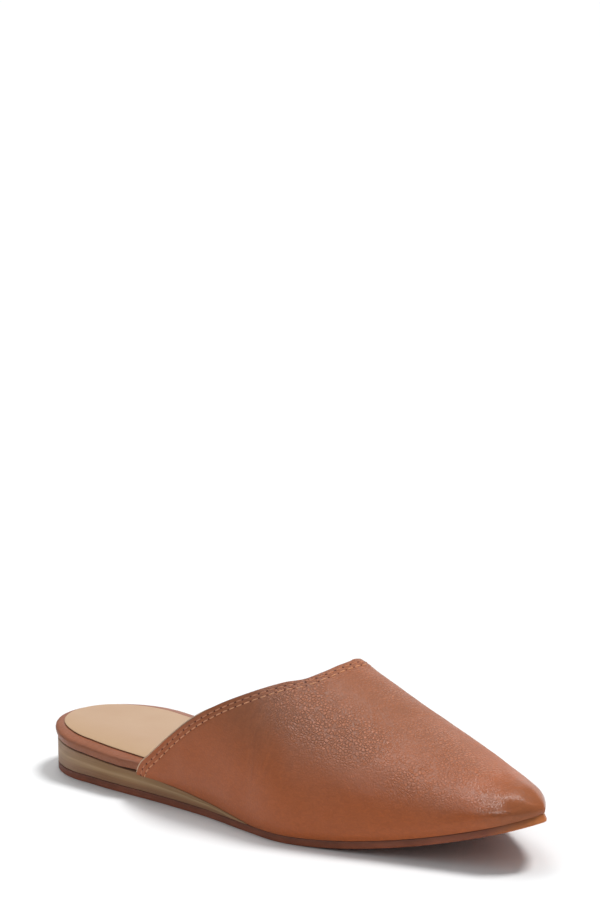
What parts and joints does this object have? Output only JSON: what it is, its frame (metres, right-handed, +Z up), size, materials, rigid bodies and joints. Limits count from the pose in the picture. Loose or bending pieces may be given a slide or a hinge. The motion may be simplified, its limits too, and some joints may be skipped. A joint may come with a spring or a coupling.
{
  "type": "mule shoe",
  "caption": "flat pointed-toe backless leather mule for the right foot, with a low wedge heel, a wrapped footbed rim, a sock lining and a one-piece vamp cut to a peak at the throat",
  "frame": {"origin": "middle of the shoe's footprint, on the floor that the sole stands on", "axes": "+Z up; the toe points to -Y and the heel to +Y; the outer side of the foot lies to -X and the inner side to +X"},
  "size_m": [0.0742, 0.2646, 0.0614],
  "materials": {
    "outsole": "satin brown crepe-look rubber",
    "heel_wedge": "matte, streaked like stacked leather",
    "footbed": "smooth tan leather wrap",
    "insole": "matte natural lining leather",
    "upper": "tumbled tan leather, soft satin, lined"
  },
  "bodies": {
    "root": {"outsole": "outsole", "heel_wedge": "heel_wedge", "footbed": "footbed", "insole": "insole", "upper": "upper"}
  },
  "joints": []
}
